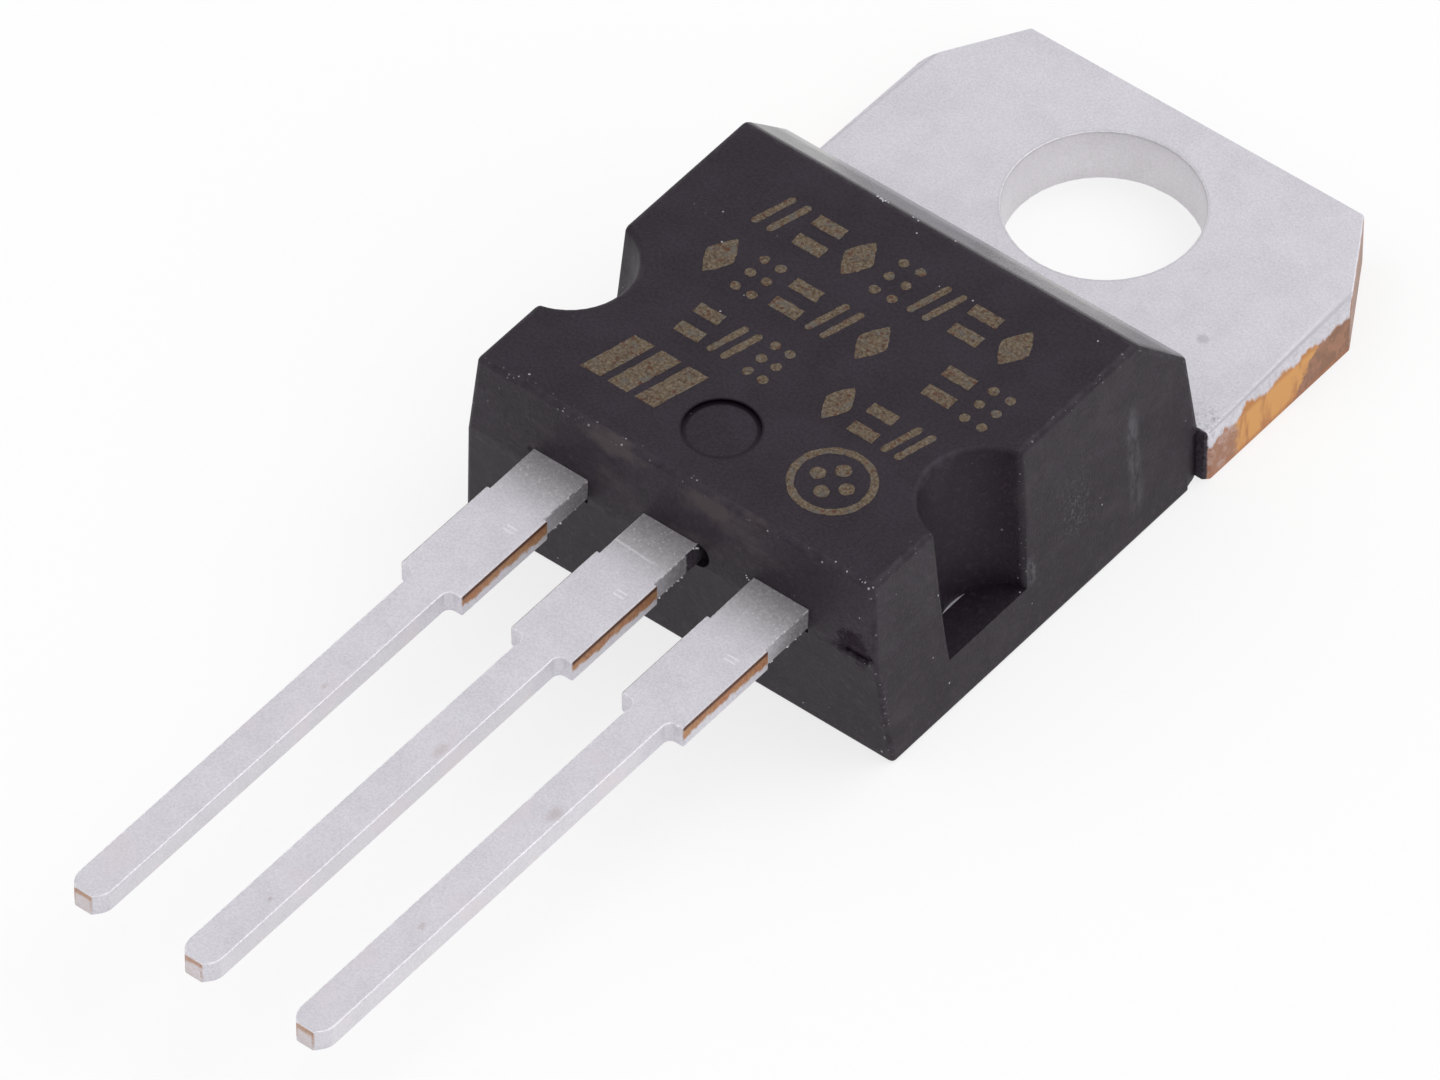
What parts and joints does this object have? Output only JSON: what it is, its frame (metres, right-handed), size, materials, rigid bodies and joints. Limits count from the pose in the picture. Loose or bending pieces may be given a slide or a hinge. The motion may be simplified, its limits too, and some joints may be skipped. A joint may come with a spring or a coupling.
{
  "type": "voltage regulator",
  "caption": "Through-hole linear voltage regulator: black moulded body on a tin-plated copper tab with a fixing hole, and a row of straight leads.",
  "frame": {"origin": "centre of the tab's fixing hole, on the tab's back face", "axes": "+Z out of the marked face, away from the back face; the leads run along -Y; +X across the body, to the right with the leads down"},
  "size_m": [0.0102, 0.0288, 0.0045],
  "materials": {
    "mould": "matt black moulding compound with a fine sandy grain",
    "tinned_copper": "matt tin plate over copper, with bare copper on the sheared edges",
    "silicon": "polished silicon",
    "solder": "dull solder",
    "bond_wire": "drawn aluminium wire"
  },
  "bodies": {
    "root": {"mould_body": "mould", "tab_and_centre_lead": "tinned_copper", "left_lead": "tinned_copper", "right_lead": "tinned_copper", "chip": "silicon", "chip_solder": "solder", "left_bond_wire": "bond_wire", "right_bond_wire": "bond_wire", "ground_bond_wire": "bond_wire"}
  },
  "joints": []
}
